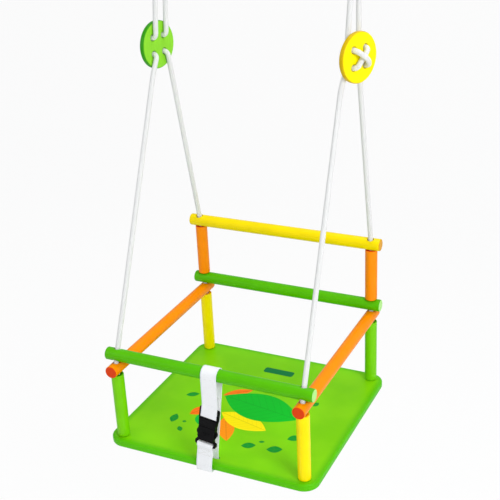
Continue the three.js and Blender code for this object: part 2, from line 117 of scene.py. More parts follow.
class V:
    """A shader value: arithmetic on it adds Math nodes, and node() adds any other node."""

    def __init__(self, tree, socket):
        self.tree, self.socket = tree, socket

    def math(self, kind, *others, clamp=False):
        node = self.tree.nodes.new("ShaderNodeMath")
        node.operation, node.use_clamp = kind, clamp
        for slot, value in zip(node.inputs, (self, *others)):
            if isinstance(value, V):
                self.tree.links.new(value.socket, slot)
            else:
                slot.default_value = value
        return V(self.tree, node.outputs[0])

    def __add__(self, other):
        return self.math("ADD", other)

    def __mul__(self, other):
        return self.math("MULTIPLY", other)

    def __sub__(self, other):
        return self.math("SUBTRACT", other)

    def __truediv__(self, other):
        return self.math("DIVIDE", other)

    def __radd__(self, other):
        return self.math("ADD", other)

    def __rmul__(self, other):
        return self.math("MULTIPLY", other)

    def __rsub__(self, other):
        return (self * -1).math("ADD", other)

    def node(self, kind, out=0, settings=None, **inputs):
        """Adds a node of that kind in this tree and returns one of its outputs."""
        made = self.tree.nodes.new(kind)
        for name, value in (settings or {}).items():
            setattr(made, name, value)
        for name, value in inputs.items():
            slot = made.inputs[int(name[1:])] if name[0] == "i" and name[1:].isdigit() \
                else made.inputs[name.replace("_", " ")]
            if isinstance(value, V):
                self.tree.links.new(value.socket, slot)
            else:
                slot.default_value = value
        return V(self.tree, made.outputs[out])

    def band(self, low, high):
        """0 below low, 1 above high, smooth between."""
        return self.node("ShaderNodeMapRange", settings={"interpolation_type": "SMOOTHSTEP"},
                         i0=self, i1=low, i2=high)

    def mix(self, a, b):
        """Colour a where this is 0 and b where it is 1."""
        return self.node("ShaderNodeMix", out=2, settings={"data_type": "RGBA"},
                         i0=self, i6=a, i7=b)


def material(name, roughness, **constants):
    """A Principled material; returns it, its shader node and its surface coordinates."""
    made = bpy.data.materials.new(name)
    made.use_nodes = True
    tree = made.node_tree
    shader = tree.nodes["Principled BSDF"]
    shader.inputs["Roughness"].default_value = roughness
    for key, value in constants.items():
        shader.inputs[key.replace("_", " ")].default_value = value
    coordinates = tree.nodes.new("ShaderNodeTexCoord")
    return made, shader, V(tree, coordinates.outputs["Object"])


def feed(shader, name, value):
    value.tree.links.new(value.socket, shader.inputs[name])


def bump(shader, height, distance, strength=1.0):
    """Raises the surface by the height, which runs from 0 to 1, over that many metres."""
    made = height.node("ShaderNodeBump", Height=height, Distance=distance, Strength=strength)
    feed(shader, "Normal", made)


def tube(bm, points, radius, sides):
    """Sweeps a circle along points, closing both ends; U runs round and V along, in mm."""
    uv = bm.loops.layers.uv.verify()
    n = len(points)
    tangents = []
    for i in range(n):
        into = (points[i] - points[max(i - 1, 0)]).normalized()
        out = (points[min(i + 1, n - 1)] - points[i]).normalized()
        tangents.append((into + out).normalized())
    side = tangents[0].orthogonal().normalized()
    rings, run, runs = [], 0.0, []
    for i in range(n):
        if i:
            side = side - tangents[i] * side.dot(tangents[i])
            side.normalize()
            run += (points[i] - points[i - 1]).length
        runs.append(run)
        other = tangents[i].cross(side)
        r = radius[i] if isinstance(radius, list) else radius
        rings.append([
            bm.verts.new(points[i] + r * (
                math.cos(2 * math.pi * k / sides) * side
                + math.sin(2 * math.pi * k / sides) * other))
            for k in range(sides)
        ])
    for i in range(n - 1):
        for k in range(sides):
            j = (k + 1) % sides
            face = bm.faces.new((rings[i][k], rings[i][j], rings[i + 1][j], rings[i + 1][k]))
            for loop, (u, w) in zip(face.loops, (
                    (k, runs[i]), (k + 1, runs[i]), (k + 1, runs[i + 1]), (k, runs[i + 1]))):
                loop[uv].uv = (u / sides, w)
    bm.faces.new(list(reversed(rings[0])))
    bm.faces.new(rings[-1])
    return run


def rounded(corners, samples=8):
    """Corners (point, cut) joined by straight runs and rounded off that far from each."""
    points = [corners[0][0]]
    for i in range(1, len(corners) - 1):
        corner, cut = corners[i]
        if not cut:
            points.append(corner)
            continue
        before = corner + (points[-1] - corner).normalized() * cut
        after = corner + (corners[i + 1][0] - corner).normalized() * cut
        for k in range(samples + 1):
            t = k / samples
            points.append(
                before * (1 - t) ** 2 + corner * 2 * t * (1 - t) + after * t ** 2)
    points.append(corners[-1][0])
    return points


def refined(points, step):
    """The same line with no step longer than this."""
    out = [points[0]]
    for p in points[1:]:
        count = max(1, math.ceil((p - out[-1]).length / step))
        start = out[-1]
        out += [start.lerp(p, (k + 1) / count) for k in range(count)]
    return out


# braid: two sets of strands that cross at a slant, each strand a soft ridge; the low grooves
# between strands are painted darker, painted shade in the creases
rope_material, shader, at = material("rope_braid", 0.62, Sheen_Weight=0.25)
at = at.node("ShaderNodeUVMap")
u = at.node("ShaderNodeSeparateXYZ", out=0, i0=at)
w = at.node("ShaderNodeSeparateXYZ", out=1, i0=at)
STRANDS = 8
PITCH = 19.0  # mm of rope for one strand's turn
one = (u * STRANDS + w * (STRANDS / PITCH)).math("FRACT")
two = (u * STRANDS - w * (STRANDS / PITCH) + 0.5).math("FRACT")
ridge_one = (one * math.pi).math("SINE")
ridge_two = (two * math.pi).math("SINE")
over = ((u * STRANDS).math("FRACT") * 2 * math.pi).math("SINE") * 0.5 + 0.5
cells = ((w * (STRANDS / PITCH)) * math.pi * 2).math("SINE") * 0.5 + 0.5
weave = over * cells + (1 - over) * (1 - cells)
height = ridge_one * weave + ridge_two * (1 - weave)
fibre = at.node("ShaderNodeTexNoise", Scale=90.0, Detail=4.0,
                Vector=at.node("ShaderNodeMapping", Vector=at, Scale=(6.0, 0.25, 1.0)))
shade = (height * 0.75 + fibre * 0.25).band(0.1, 0.75)
# painted shade: the base colour follows the braid's height, darker in the grooves between strands
feed(shader, "Base Color", shade.mix(rgb(204, 205, 206), rgb(238, 238, 236)))
feed(shader, "Roughness", 0.5 + fibre * 0.3)
bump(shader, height * 0.8 + fibre * 0.2, 0.0007)

HOLE = 12  # hole rows from the button's middle
STRAND = 8.85  # rope's line off the button's mid-plane
BELOW = 27  # front strand's straight run up to the button
front_slope = math.atan2(button_y - HOLE + stack_y, button_z - HOLE - front_turn_z)
button_places = {}


def upright(x, y, z):
    """A point given upright about the swing axis, in the board's frame."""
    return to_board @ Vector((x, y, z))


for side, sign, twist in (("left", -1, 9.7), ("right", 1, 21)):
    turn = Matrix.Rotation(-math.radians(twist), 3, "Z")
    outward = turn @ Vector((sign, 0, 0))
    rearward = turn @ Vector((0, 1, 0))
    middle = Vector((sign * stack_x, button_y, button_z)) + outward * STRAND

    def on_button(rear, up, out):
        return middle + rearward * rear + Vector((0, 0, up)) + outward * out

    x = sign * stack_x
    eye = [
        (upright(x, 14 * math.cos(math.pi * i / 20), -4.1 + 14 * math.sin(math.pi * i / 20)), 0)
        for i in range(21)
    ]
    route = rounded([
        (Vector((x, -stack_y, rope_end)), 0),
        (Vector((x, -stack_y, front_turn_z)), 6),
        (on_button(-HOLE - BELOW * math.tan(front_slope), -HOLE - BELOW, -STRAND), 13),
        (on_button(-HOLE, -HOLE, -STRAND), 7.5), (on_button(-HOLE, -HOLE, STRAND), 7.5),
        (on_button(HOLE, HOLE, STRAND), 7.5), (on_button(HOLE, HOLE, -STRAND), 7.5),
        (upright(x, 14, -42), 6), *eye, (upright(x, -14, -42), 6),
        (on_button(-HOLE, HOLE, -STRAND), 7.5), (on_button(-HOLE, HOLE, STRAND), 7.5),
        (on_button(0, 0, STRAND + 9.6), 8),
        (on_button(HOLE, -HOLE, STRAND), 7.5), (on_button(HOLE, -HOLE, -STRAND), 7.5),
        (Vector((x, stack_y, rear_turn_z)), 6),
        (Vector((x, stack_y, rope_end)), 0),
    ])
    bm = bmesh.new()
    length = tube(bm, refined(route, 12), rope_r, 24)
    hang_mesh(bm)
    rope = smooth_object(f"rope_{side}_braid", bm, angle=60)
    rope.data.materials.append(rope_material)
    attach(rope, "seat")
    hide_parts(f"rope_{side}")
    path = [hang @ p * mm for p in refined(route, 12)]
    length * mm
    button_places[side] = (middle, outward, rearward)


# ---------------------------------------------------------------- stopper knots
# Each rope end takes two tight turns round itself, is pulled up into its recess under the board
# and cut off short, with the fibres melted together.
knot_material, shader, at = material("rope_knot", 0.66, Sheen_Weight=0.25)
uv = at.node("ShaderNodeUVMap")
u, w = (at.node("ShaderNodeSeparateXYZ", out=k, i0=uv) for k in (0, 1))
strands = ((u * 8 + w * 0.42).math("FRACT") * math.pi).math("SINE")
crossed = ((u * 8 - w * 0.42).math("FRACT") * math.pi).math("SINE")
twist = strands.math("MAXIMUM", crossed)
# painted shade: the colour follows the strands' height, darker in the grooves between them
feed(shader, "Base Color", twist.mix(rgb(205, 203, 196), rgb(244, 243, 238)))
feed(shader, "Roughness", 0.55 + twist * 0.2)
bump(shader, twist, 0.0006)

for name, x, y in (
        ("front_left", -stack_x, -stack_y), ("front_right", stack_x, -stack_y),
        ("back_left", -stack_x, stack_y), ("back_right", stack_x, stack_y)):
    line_points = [Vector((0, 0, -5.6)), Vector((0.8, 0, -7.0)), Vector((3.4, 0.6, -8.3))]
    for i in range(64):
        angle = 4.1 * math.pi * i / 63
        line_points.append(Vector((
            5.9 * math.cos(angle), 5.9 * math.sin(angle), -9.2 - 5.4 * i / 63)))
    line_points += [Vector((2.6, 2.2, -15.4)), Vector((0.3, 0.6, -16.6)), Vector((0, 0, -18.8))]
    bm = bmesh.new()
    tube(bm, [p + Vector((x, y, 0)) for p in line_points],
         [3.3] * (len(line_points) - 1) + [3.0], 20)
    hang_mesh(bm)
    knot = smooth_object(f"knot_{name}_turns", bm, angle=60)
    knot.data.materials.append(knot_material)
    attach(knot, "seat")
    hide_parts(f"knot_{name}")


# ---------------------------------------------------------------- seat board
# Plywood cut with round corners, edges rounded over, sprayed lime green with a deeper green round
# the rim, partly the spray and partly painted shade on the edges. Printed with a spray of plain
# leaves, leaf spots and a blank dark green label.
board_w, board_d, board_corner, rounding = 337, 320, 24, 3


def skin(bm, rings):
    """Joins rings of points, in order, into one closed solid with flat ends."""
    made = [[bm.verts.new(p) for p in ring] for ring in rings]
    for lower, upper in zip(made, made[1:]):
        for k in range(len(lower)):
            j = (k + 1) % len(lower)
            bm.faces.new((lower[k], lower[j], upper[j], upper[k]))
    bm.faces.new(list(reversed(made[0])))
    bm.faces.new(made[-1])
    return bm


def turned(profile, sides):
    """Spins (radius, height) pairs about Z. A profile off the axis ends where it starts."""
    bm = bmesh.new()
    rings = []
    for r, h in profile:
        if r == 0:
            rings.append([bm.verts.new((0, 0, h))] * sides)
        else:
            rings.append([
                bm.verts.new((r * math.cos(2 * math.pi * k / sides),
                              r * math.sin(2 * math.pi * k / sides), h))
                for k in range(sides)])
    if profile[0] == profile[-1]:
        bmesh.ops.delete(bm, geom=rings[-1], context="VERTS")
        rings[-1] = rings[0]
    for a, b in zip(rings, rings[1:]):
        for k in range(sides):
            j = (k + 1) % sides
            corners = list(dict.fromkeys((a[k], a[j], b[j], b[k])))
            if len(corners) > 2:
                bm.faces.new(corners)
    bmesh.ops.recalc_face_normals(bm, faces=bm.faces)
    return bm


def carve(bm, cutters):
    """Takes each cutter's solid out of bm and frees the cutters."""
    def temporary(source):
        mesh = bpy.data.meshes.new("temporary")
        bmesh.ops.recalc_face_normals(source, faces=source.faces)
        source.to_mesh(mesh)
        made = bpy.data.objects.new("temporary", mesh)
        bpy.context.scene.collection.objects.link(made)
        return made
    blank = temporary(bm)
    tools = [temporary(cutter) for cutter in cutters]
    for tool in tools:
        modifier = blank.modifiers.new("cut", "BOOLEAN")
        modifier.object, modifier.operation, modifier.solver = tool, "DIFFERENCE", "EXACT"
    bpy.context.view_layer.update()
    result = bpy.data.meshes.new_from_object(
        blank.evaluated_get(bpy.context.evaluated_depsgraph_get()))
    bm.clear()
    bm.from_mesh(result)
    for cutter in cutters:
        cutter.free()
    for made in (blank, *tools):
        mesh = made.data
        bpy.data.objects.remove(made)
        bpy.data.meshes.remove(mesh)
    bpy.data.meshes.remove(result)
    return bm


def moved(bm, x=0, y=0, z=0):
    bmesh.ops.translate(bm, verts=bm.verts, vec=(x, y, z))
    return bm


def set_uv(bm, place):
    """Writes a UV, in mm, from each corner's place."""
    layer = bm.loops.layers.uv.verify()
    for face in bm.faces:
        for loop in face.loops:
            loop[layer].uv = place(loop.vert.co)


def round_box(half_x, half_y, corner, z, per_corner=12, per_side=12, middle=(0, 0)):
    """A level ring: a rectangle with round corners."""
    ring = []
    for k, (sx, sy) in enumerate(((1, 1), (-1, 1), (-1, -1), (1, -1))):
        start = k * math.pi / 2
        for i in range(per_corner + 1):
            angle = start + math.pi / 2 * i / per_corner
            ring.append(Vector((
                middle[0] + sx * (half_x - corner) + corner * math.cos(angle),
                middle[1] + sy * (half_y - corner) + corner * math.sin(angle), z)))
        after = ((-1, 1), (-1, -1), (1, -1), (1, 1))[k]
        end = start + math.pi / 2
        last = Vector((
            middle[0] + after[0] * (half_x - corner) + corner * math.cos(end),
            middle[1] + after[1] * (half_y - corner) + corner * math.sin(end), z))
        first = ring[-1]
        ring += [first.lerp(last, i / per_side) for i in range(1, per_side)]
    return ring


quarter = [math.pi / 2 * i / 6 for i in range(7)]
levels = [(rounding * (1 - math.sin(a)), -board_t + rounding * (1 - math.cos(a)))
          for a in quarter]
levels += [(rounding * (1 - math.sin(a)), -rounding * (1 - math.cos(a)))
           for a in reversed(quarter)]
bm = skin(bmesh.new(), [
    round_box(board_w / 2 - inset, board_d / 2 - inset, board_corner - inset, z)
    for inset, z in levels])
cutters = [
    moved(turned([
        (0, -20), (12.4, -20), (12.4, -12.02), (11.8, -11.6), (11.5, -11), (11.5, -5.5),
        (11.1, -5), (4.75, -5), (4.75, -0.9), (4.95, -0.35), (5.6, 0.02), (5.6, 4), (0, 4),
    ], 40), x, y)
    for x in (-stack_x, stack_x) for y in (-stack_y, stack_y)]
slot_x, slot_y = 1.5, -144.2
cutters.append(skin(bmesh.new(), [
    round_box(14 + grow, 3 + grow, 2.9 + grow, z, per_side=2, middle=(slot_x, slot_y))
    for z, grow in ((-20, 0.9), (-12.02, 0.9), (-11.7, 0.3), (-11, 0), (-1, 0),
                    (-0.3, 0.3), (0.02, 0.9), (4, 0.9))]))
carve(bm, cutters)
set_uv(bm, lambda p: (p.x, p.y))
hang_mesh(bm)
board = smooth_object("seat_board_painted", bm, angle=32)

board_material, shader, at = material("board_paint", 0.4, Specular_IOR_Level=0.1)
uv = at.node("ShaderNodeUVMap")
x, y = (at.node("ShaderNodeSeparateXYZ", out=k, i0=uv) for k in (0, 1))


def rounded_box_depth(x, y, middle, half, corner):
    """How far inside a rectangle with round corners, in mm."""
    over_x = (x - middle[0]).math("ABSOLUTE") - (half[0] - corner)
    over_y = (y - middle[1]).math("ABSOLUTE") - (half[1] - corner)
    out_x, out_y = over_x.math("MAXIMUM", 0), over_y.math("MAXIMUM", 0)
    outside = (out_x * out_x + out_y * out_y).math("SQRT")
    inside = over_x.math("MAXIMUM", over_y).math("MINIMUM", 0)
    return corner - outside - inside


def leaf(x, y, middle, angle, half_length, half_width):
    """A pointed leaf: its mask, and the places along and across it, in mm."""
    c, s = math.cos(math.radians(angle)), math.sin(math.radians(angle))
    along = (x - middle[0]) * c + (y - middle[1]) * s
    across = ((y - middle[1]) * c - (x - middle[0]) * s).math("ABSOLUTE")
    share = along / half_length
    edge = (1 - share * share) * half_width - across
    return edge.band(-0.3, 0.3), along, across


def veined(mask, along, across, pitch):
    """A midrib and slanting side veins inside the mask."""
    rib = 1 - across.band(0.25, 0.7)
    side = ((along + across * 0.9) / pitch).math("FRACT")
    return mask * rib.math("MAXIMUM", (1 - side.band(0.03, 0.1)) * 0.6)


depth = rounded_box_depth(x, y, (0, 0), (board_w / 2, board_d / 2), board_corner)
cloud = at.node("ShaderNodeTexNoise", Vector=at, Scale=14.0, Detail=3.0)
colour = cloud.band(0.35, 0.65).mix(rgb(122, 208, 2), rgb(132, 214, 8))
# the edges and the last 14 mm in from them turn a darker green: partly the spray, partly painted
# shade
colour = unprinted_with_rim_shade = (1 - depth.band(-1, 14)).mix(colour, rgb(86, 190, 2))
for middle, angle, length, width, shade in (
        ((-36, 25), 38, 25, 9, rgb(255, 122, 20)), ((-71, -44), 58, 17, 10, rgb(255, 118, 20)),
        ((-10, -72), -63, 34, 13, rgb(255, 150, 15)), ((-58, -63), -72, 17, 9, rgb(0, 190, 60)),
        ((7, -46), -14, 44, 20, rgb(255, 236, 0)), ((16, -1), -9, 69, 36, rgb(5, 190, 40))):
    mask, along, across = leaf(x, y, middle, angle, length, width)
    colour = mask.mix(colour, shade)
    tint = tuple(0.72 * c for c in shade[:3]) + (1,)
    colour = veined(mask, along, across, length / 5).mix(colour, tint)
spot = None
for middle, angle, length, width in (
        ((-102.5, -5.5), 30, 11, 6), ((-98, -76), -83, 11.5, 6.5), ((-78.4, -79), 10, 3.6, 2.6),
        ((-75.5, -99), -50, 7, 4), ((41, -100.5), 24, 11, 7), ((55.6, -85), 20, 4.6, 2.8),
        ((81, -95.6), 22, 12, 8), ((97, -58.7), 40, 11, 7), ((92.6, 37.6), 62, 7.5, 5)):
    mask, along, across = leaf(x, y, middle, angle, length, width)
    mask = mask - veined(mask, along, across, 50) * 0.1
    spot = mask if spot is None else spot.math("MAXIMUM", mask)
colour = spot.mix(colour, rgb(0, 150, 46))
label = rounded_box_depth(x, y, (0, 107), (26, 7.6), 4).band(-0.3, 0.3)
colour = label.mix(colour, rgb(0, 124, 62))
# only the upper face is printed: height over the board's top, in mm
along_y, along_z = (at.node("ShaderNodeSeparateXYZ", out=k, i0=at) for k in (1, 2))
height = (along_y * (to_board[2][1] / mm) + along_z * (to_board[2][2] / mm)) + to_board[2][3]
upper = height.band(-7, -5)
label = label * upper
feed(shader, "Base Color", upper.mix(unprinted_with_rim_shade, colour))
peel = at.node("ShaderNodeTexNoise", Vector=at, Scale=420.0, Detail=2.0)
grain = at.node(
    "ShaderNodeTexNoise", Detail=5.0, Scale=30.0,
    Vector=at.node("ShaderNodeMapping", Vector=at, Scale=(0.6, 12.0, 12.0)))
feed(shader, "Roughness", 0.3 + peel * 0.1 + grain * 0.08 - label * 0.08)
bump(shader, peel * 0.3 + grain * 0.7 + label * 0.5, 0.00014)
board.data.materials.append(board_material)
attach(board, "seat")
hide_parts("seat_board")


# ---------------------------------------------------------------- posts
# Turned dowels, 19 mm, bored end to end and threaded on the ropes. Ends are sanded round and the
# gloss paint stops in the bore, where bare wood shows.
dowel_r, bore_r = 9.5, 4.75
lower_post, upper_post = 106.7, 85.5
upper_post_z = 145.9


def dowel(length, bore=0.0):
    """A dowel up from the origin, with an optional bore."""
    ease = 1.5
    turn = [math.pi / 2 * i / 5 for i in range(6)]
    foot = [(dowel_r - ease + ease * math.sin(a), ease - ease * math.cos(a)) for a in turn]
    inner = [(bore + 0.65, 0.0)] if bore else [(0.0, 0.12), (dowel_r / 2, 0.1)]
    count = max(2, round((length - 2 * ease) / 5))
    body = [(dowel_r, ease + (length - 2 * ease) * i / count) for i in range(1, count)]
    half = inner + foot
    profile = half + body + [(r, length - h) for r, h in reversed(half)]
    if bore:
        lips = [(bore + 0.2, 0.2), (bore, 0.7)]
        inside = [(bore, 0.7 + (length - 1.4) * i / 10) for i in range(1, 10)]
        profile += [(r, length - h) for r, h in lips]
        profile += list(reversed(inside)) + list(reversed(lips)) + [profile[0]]
    return turned(profile, 56)


def paint(name, colour, deep, grain_axis, end_face=None):
    """Gloss paint over a dowel's grain, painted darker on the ends as painted shade; an end-face
    colour, where given, is a painted highlight. UV holds (bore share, mm from the nearer end).
    """
    made, shader, at = material(name, 0.3, Specular_IOR_Level=0.13)
    uv = at.node("ShaderNodeUVMap")
    inside, end = (at.node("ShaderNodeSeparateXYZ", out=k, i0=uv) for k in (0, 1))
    scale = tuple(0.05 if k == grain_axis else 1.0 for k in range(3))
    grain = at.node("ShaderNodeTexNoise", Scale=520.0, Detail=4.0,
                    Vector=at.node("ShaderNodeMapping", Vector=at, Scale=scale))
    cloud = at.node("ShaderNodeTexNoise", Vector=at, Scale=45.0, Detail=2.0)
    peel = at.node("ShaderNodeTexNoise", Vector=at, Scale=700.0, Detail=1.0)
    tone = (cloud * 0.6 + grain * 0.4).band(0.3, 0.7)
    shade = tone.mix(tuple(0.93 * c for c in colour[:3]) + (1,), colour)
    # painted shade: the rounded ends darken towards the deep colour, and the end faces take it
    # fully unless an end-face colour is given
    shade = ((1 - end.band(0.2, 1.8)) * 0.45).mix(shade, deep)
    shade = (1 - end.band(0.15, 0.6)).mix(shade, end_face or deep)
    shade = inside.band(0.35, 0.65).mix(shade, grain.band(0.3, 0.7).mix(
        rgb(176, 140, 92), rgb(214, 182, 132)))
    feed(shader, "Base Color", shade)
    feed(shader, "Roughness", 0.24 + grain * 0.12 + inside.band(0.35, 0.65) * 0.4)
    bump(shader, grain * 0.7 + peel * 0.3, 0.00012)
    return made


def dowel_uv(bm, length, bore=0.0):
    """For a dowel that still stands at the origin."""
    set_uv(bm, lambda p: (
        1.0 if bore and math.hypot(p.x, p.y) < bore + 0.1 else 0.0, min(p.z, length - p.z)))


orange, orange_end_shade = rgb(255, 144, 0), rgb(216, 62, 0)
green_post = paint("green_post_paint", rgb(120, 208, 8), rgb(50, 150, 0), 2)
yellow_post = paint("yellow_post_paint", rgb(255, 230, 0), rgb(226, 160, 0), 2)
orange_post = paint("orange_post_paint", orange, orange_end_shade, 2)
for name, x, y, z, length, finish, row in (
        ("post_front_left", -stack_x, -stack_y, 0.3, lower_post, green_post, "green_paint"),
        ("post_front_right", stack_x, -stack_y, 0.3, lower_post, yellow_post, "yellow_paint"),
        ("post_back_left", -stack_x, stack_y, 0.3, lower_post, yellow_post, "yellow_paint"),
        ("post_back_right", stack_x, stack_y, 0.3, lower_post, green_post, "green_paint"),
        ("upper_post_left", -stack_x, stack_y, upper_post_z, upper_post, orange_post,
         "orange_paint"),
        ("upper_post_right", stack_x, stack_y, upper_post_z, upper_post, orange_post,
         "orange_paint")):
    bm = dowel(length, bore_r)
    dowel_uv(bm, length, bore_r)
    hang_mesh(moved(bm, x, y, z))
    post = smooth_object(f"{name}_dowel", bm, angle=50)
    post.data.materials.append(finish)
    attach(post, "seat")
    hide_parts(name)


# ---------------------------------------------------------------- rails
# The same dowel stock laid across the posts and cross bored for the ropes, mouths eased. Side
# rails run front to back, the others from side to side; the front rail slides on its ropes.
side_rail_length, cross_rail_length = 318, 328
side_rail_z, cross_rail_z, top_rail_z = 116.8, 136.1, 241.2
rear_slope = math.atan2(button_y + HOLE - stack_y, button_z - HOLE - rear_turn_z)
front_rail_y = -stack_y + (cross_rail_z - front_turn_z) * math.tan(front_slope)
top_rail_y = stack_y + (top_rail_z - rear_turn_z) * math.tan(rear_slope)


def bored_rail(length, turn, holes, slope, bore):
    """A rail turned from +Z to its own direction, bored at each hole's place along it."""
    bm = dowel(length)
    drills = []
    for along in holes:
        drill = turned([
            (0, -14), (bore + 2.6, -14), (bore + 1.1, -9.6), (bore + 0.25, -8), (bore, -7.2),
            (bore, 7.2), (bore + 0.25, 8), (bore + 1.1, 9.6), (bore + 2.6, 14), (0, 14),
        ], 40)
        lie = Matrix.Rotation(math.pi / 2, 4, "Y")
        tilt = Matrix.Rotation(-slope, 4, "Z") @ lie
        bmesh.ops.transform(drill, verts=drill.verts, matrix=tilt)
        drills.append(moved(drill, 0, 0, length / 2 + along))
    carve(bm, drills)
    layer = bm.loops.layers.uv.verify()
    for face in bm.faces:
        middle = face.calc_center_median()
        deep = math.hypot(middle.x, middle.y) < dowel_r - 1.4 and 1 < middle.z < length - 1
        for loop in face.loops:
            loop[layer].uv = (float(deep), min(loop.vert.co.z, length - loop.vert.co.z))
    moved(bm, 0, 0, -length / 2)
    bmesh.ops.transform(bm, verts=bm.verts, matrix=turn)
    return bm


# a rail across: its +Z turns to +X and its +X turns to -Z, so drills stand along +Z
across = Matrix.Rotation(math.pi / 2, 4, "Y")
# a rail front to back: its +Z turns to +Y; its +X turns to +Z
fore = Matrix(((0, 1, 0, 0), (0, 0, 1, 0), (1, 0, 0, 0), (0, 0, 0, 1)))
# painted highlight: the green rails' end faces take a pale green, as if lit
green_rail = paint("green_rail_paint", rgb(86, 186, 0), rgb(40, 140, 0), 0, rgb(176, 236, 130))
yellow_rail = paint("yellow_rail_paint", rgb(246, 220, 0), rgb(226, 160, 0), 0)
orange_rail = paint("orange_rail_paint", orange, orange_end_shade, 1)
for name, body, turn, length, holes, slope, bore, place, finish, row in (
        ("side_rail_left", "seat", fore, side_rail_length, (-stack_y, stack_y), 0, bore_r,
         (-stack_x, 0, side_rail_z), orange_rail, "orange_paint"),
        ("side_rail_right", "seat", fore, side_rail_length, (-stack_y, stack_y), 0, bore_r,
         (stack_x, 0, side_rail_z), orange_rail, "orange_paint"),
        ("front_rail", "front_rail", across, cross_rail_length, (-stack_x, stack_x),
         front_slope, 5.25, (0, front_rail_y, cross_rail_z), green_rail, "green_paint"),
        ("rear_rail", "seat", across, cross_rail_length, (-stack_x, stack_x), 0, bore_r,
         (0, stack_y, cross_rail_z), green_rail, "green_paint"),
        ("top_rail", "seat", across, cross_rail_length, (-stack_x, stack_x), rear_slope,
         bore_r, (0, top_rail_y, top_rail_z), yellow_rail, "yellow_paint")):
    bm = moved(bored_rail(length, turn, holes, slope, bore), *place)
    hang_mesh(bm)
    rail = smooth_object(f"{name}_dowel", bm, angle=38)
    rail.data.materials.append(finish)
    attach(rail, body)
    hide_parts(name)


# ---------------------------------------------------------------- buttons
# Wooden discs with a rounded rim and four holes. Each gathers its rope's two strands, which
# cross on its outer face, so the seat can't slide up or tip.
def button_paint(name, face_colour, rim_shade_colour):
    """UV holds the distance from the disc's middle, in mm, and the height off its mid-plane."""
    made, shader, at = material(name, 0.3, Specular_IOR_Level=0.13)
    uv = at.node("ShaderNodeUVMap")
    out, up = (at.node("ShaderNodeSeparateXYZ", out=k, i0=uv) for k in (0, 1))
    radius = (out * out + up * up).math("SQRT")
    grain = at.node("ShaderNodeTexNoise", Scale=380.0, Detail=4.0,
                    Vector=at.node("ShaderNodeMapping", Vector=at, Scale=(1.0, 1.0, 0.06)))
    peel = at.node("ShaderNodeTexNoise", Vector=at, Scale=600.0, Detail=2.0)
    shade = grain.band(0.3, 0.7).mix(tuple(0.94 * c for c in face_colour[:3]) + (1,),
                                     face_colour)
    # painted shade: the rim band beyond 33.2 mm takes the darker rim colour
    feed(shader, "Base Color", radius.band(33.2, 34.8).mix(shade, rim_shade_colour))
    feed(shader, "Roughness", 0.24 + peel * 0.14)
    bump(shader, grain * 0.6 + peel * 0.4, 0.00012)
    return made


for side, face_colour, rim_shade_colour, row in (
        ("left", rgb(140, 216, 50), rgb(50, 150, 10), "green_button"),
        ("right", rgb(255, 238, 0), rgb(214, 178, 0), "yellow_button")):
    middle, outward, rearward = button_places[side]
    round_over = [math.pi / 2 * i / 6 for i in range(7)]
    rim = [(32.8 + 2.2 * math.sin(a), -4 + 2.2 * (1 - math.cos(a))) for a in round_over]
    rim += [(r, -h) for r, h in reversed(rim)]
    bm = turned([(0, -4), (24, -4), *rim, (24, 4), (0, 4)], 96)
    drills = []
    for a in (-HOLE, HOLE):
        for b in (-HOLE, HOLE):
            drills.append(moved(turned([
                (0, -9), (6.6, -9), (6.6, -4.02), (5.5, -3.6), (5.05, -2.9), (5, -2), (5, 2),
                (5.05, 2.9), (5.5, 3.6), (6.6, 4.02), (6.6, 9), (0, 9),
            ], 40), a, b))
    carve(bm, drills)
    set_uv(bm, lambda p: (p.x, p.y))
    stand = Matrix((
        (rearward.x, 0, outward.x, middle.x), (rearward.y, 0, outward.y, middle.y),
        (0, 1, 0, middle.z), (0, 0, 0, 1)))
    bmesh.ops.transform(bm, verts=bm.verts, matrix=stand)
    hang_mesh(bm)
    button = smooth_object(f"button_{side}_disc", bm, angle=40)
    button.data.materials.append(button_paint(f"button_{side}_paint", face_colour, rim_shade_colour))
    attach(button, "seat")
    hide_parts(f"button_{side}")


# ---------------------------------------------------------------- thimbles and rings
# A pressed steel eye lines each rope's top bend and hangs on a welded zinc-plated ring, which
# stays with the hook.
steel_material, shader, at = material("zinc_plate", 0.3, Metallic=1.0)
spangle = at.node("ShaderNodeTexVoronoi", Vector=at, Scale=260.0)
haze = at.node("ShaderNodeTexNoise", Vector=at, Scale=90.0, Detail=4.0)
feed(shader, "Base Color", (spangle * 0.5 + haze * 0.5).band(0.2, 0.8).mix(
    rgb(160, 164, 170), rgb(206, 209, 213)))
feed(shader, "Roughness", 0.2 + haze * 0.25)
bump(shader, haze, 0.00008)

